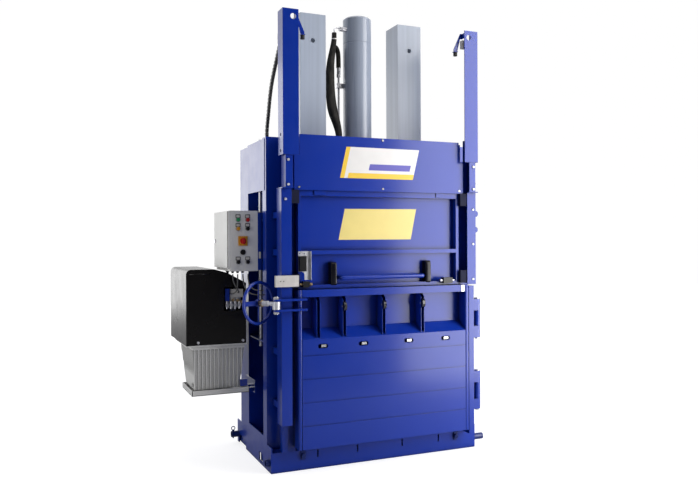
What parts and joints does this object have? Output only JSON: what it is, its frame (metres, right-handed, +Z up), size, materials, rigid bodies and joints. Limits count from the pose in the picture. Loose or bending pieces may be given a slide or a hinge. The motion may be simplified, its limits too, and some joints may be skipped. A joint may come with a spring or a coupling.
{
  "type": "vertical baler",
  "caption": "Vertical recycling baler: sliding loading door over a hinged bale door with handwheel lock, hydraulic ram with square guide tubes, control box and power pack on its side.",
  "frame": {"origin": "on the floor, at the middle of the base frame in plan", "axes": "+X to the right of someone facing the machine, +Y to its back, +Z up"},
  "size_m": [2.103, 0.999, 3.1],
  "materials": {
    "frame_blue": "gloss",
    "door_blue": "gloss",
    "silver_grey": "satin",
    "hood_black": "gloss",
    "box_grey": "satin",
    "cast_aluminium": "rough",
    "zinc_steel": "satin",
    "bright_steel": "polished",
    "black_rubber": "matt",
    "black_plastic": "matt",
    "pale_plastic": "matt",
    "brass": "satin",
    "green_plastic": "gloss",
    "red_plastic": "gloss",
    "yellow_plastic": "gloss"
  },
  "bodies": {
    "frame": {"base_frame": "frame_blue", "lifting_bars": "zinc_steel", "chamber_walls": "frame_blue", "side_frames": "frame_blue", "top_frame": "frame_blue", "guide_pads": "black_plastic", "door_guides": "frame_blue", "posts": "frame_blue", "stop_arms": "frame_blue", "rubber_buffers": "black_rubber", "switch_boxes": "pale_plastic", "hinge_pins": "bright_steel", "cylinder_barrel": "silver_grey", "cylinder_hoses": "black_rubber", "hydraulic_pipes": "bright_steel", "cable_carrier": "black_plastic", "frame_hardware": "zinc_steel", "control_box": "box_grey", "control_bracket": "frame_blue", "button_bezels": "bright_steel", "main_switch_base": "yellow_plastic", "box_fittings": "black_plastic", "box_hinges": "zinc_steel", "power_console": "frame_blue", "oil_tank": "cast_aluminium", "power_hood": "hood_black", "valve_block": "silver_grey"},
    "ram": {"press_platen": "frame_blue", "piston_rod": "bright_steel", "ram_guide_tubes": "silver_grey"},
    "loading_door": {"loading_door_frame": "door_blue", "loading_door_panel": "door_blue", "door_cover": "door_blue", "slide_blocks": "black_plastic", "door_grips": "black_plastic", "door_handle": "door_blue", "latch_housings": "black_plastic", "interlock_plate": "zinc_steel"},
    "left_bolt": {"latch_pin_left": "brass"},
    "right_bolt": {"latch_pin_right": "zinc_steel"},
    "bale_door": {"bale_door_frame": "door_blue", "bale_door_panel": "door_blue", "strap_fins": "frame_blue", "door_pins": "bright_steel", "hinge_stile": "door_blue"},
    "roller_1": {"strap_roller_1": "black_plastic"},
    "roller_2": {"strap_roller_2": "black_plastic"},
    "roller_3": {"strap_roller_3": "black_plastic"},
    "spindle": {"lock_spindle": "zinc_steel"},
    "wheel": {"handwheel": "door_blue", "lock_nut": "brass"},
    "box_door": {"control_box_door": "box_grey"},
    "box_lock": {"cam_lock": "bright_steel"},
    "main_switch": {"main_switch_knob": "red_plastic"},
    "green_button": {"button_green": "green_plastic"},
    "red_button": {"button_red": "red_plastic"},
    "yellow_button": {"button_yellow": "yellow_plastic"},
    "black_button": {"button_black": "black_plastic"},
    "low_left_button": {"button_low_left": "black_plastic"},
    "low_right_button": {"button_low_right": "black_plastic"}
  },
  "joints": [
    {"name": "ram_slide", "type": "slide", "parent": "frame", "child": "ram", "axis": [0, 0, -1], "range_m": [0, 0.7]},
    {"name": "loading_door_slide", "type": "slide", "parent": "frame", "child": "loading_door", "axis": [0, 0, 1], "range_m": [0, 0.607]},
    {"name": "left_bolt_slide", "type": "slide", "parent": "loading_door", "child": "left_bolt", "axis": [1, 0, 0], "range_m": [0, 0.014], "stiffness_N_per_m": 300, "springref_m": -0.01},
    {"name": "right_bolt_slide", "type": "slide", "parent": "loading_door", "child": "right_bolt", "axis": [-1, 0, 0], "range_m": [0, 0.014], "stiffness_N_per_m": 300, "springref_m": -0.01},
    {"name": "bale_door_hinge", "type": "hinge", "parent": "frame", "child": "bale_door", "pos_m": [0.738, -0.5, 0.687], "axis": [0, 0, 1], "range_deg": [0, 110]},
    {"name": "roller_1_spin", "type": "hinge", "parent": "bale_door", "child": "roller_1", "pos_m": [-0.2925, -0.515, 1.065], "axis": [1, 0, 0], "continuous": true},
    {"name": "roller_2_spin", "type": "hinge", "parent": "bale_door", "child": "roller_2", "pos_m": [-0.0065, -0.515, 1.065], "axis": [1, 0, 0], "continuous": true},
    {"name": "roller_3_spin", "type": "hinge", "parent": "bale_door", "child": "roller_3", "pos_m": [0.2875, -0.515, 1.065], "axis": [1, 0, 0], "continuous": true},
    {"name": "lock_swing", "type": "hinge", "parent": "bale_door", "child": "spindle", "pos_m": [-0.766, -0.55, 1.099], "axis": [0, 0, 1], "range_deg": [-18, 75]},
    {"name": "wheel_spin", "type": "hinge", "parent": "spindle", "child": "wheel", "pos_m": [-0.8425, -0.4175, 1.099], "axis": [-0.5, 0.866, 0], "continuous": true},
    {"name": "box_door_hinge", "type": "hinge", "parent": "frame", "child": "box_door", "pos_m": [-0.977, 0.17, 1.5], "axis": [0, 0, -1], "range_deg": [0, 110]},
    {"name": "box_lock_turn", "type": "hinge", "parent": "box_door", "child": "box_lock", "pos_m": [-0.993, 0.129, 1.494], "axis": [-1, 0, 0], "range_deg": [0, 90]},
    {"name": "main_switch_turn", "type": "hinge", "parent": "frame", "child": "main_switch", "pos_m": [-0.894, -0.239, 1.494], "axis": [0, -1, 0], "range_deg": [0, 90]},
    {"name": "green_button_press", "type": "slide", "parent": "frame", "child": "green_button", "axis": [0, 1, 0], "range_m": [0, 0.004], "stiffness_N_per_m": 200, "springref_m": -0.005},
    {"name": "red_button_press", "type": "slide", "parent": "frame", "child": "red_button", "axis": [0, 1, 0], "range_m": [0, 0.004], "stiffness_N_per_m": 200, "springref_m": -0.005},
    {"name": "yellow_button_press", "type": "slide", "parent": "frame", "child": "yellow_button", "axis": [0, 1, 0], "range_m": [0, 0.004], "stiffness_N_per_m": 200, "springref_m": -0.005},
    {"name": "black_button_press", "type": "slide", "parent": "frame", "child": "black_button", "axis": [0, 1, 0], "range_m": [0, 0.004], "stiffness_N_per_m": 200, "springref_m": -0.005},
    {"name": "low_left_button_press", "type": "slide", "parent": "frame", "child": "low_left_button", "axis": [0, 1, 0], "range_m": [0, 0.004], "stiffness_N_per_m": 200, "springref_m": -0.005},
    {"name": "low_right_button_press", "type": "slide", "parent": "frame", "child": "low_right_button", "axis": [0, 1, 0], "range_m": [0, 0.004], "stiffness_N_per_m": 200, "springref_m": -0.005}
  ]
}
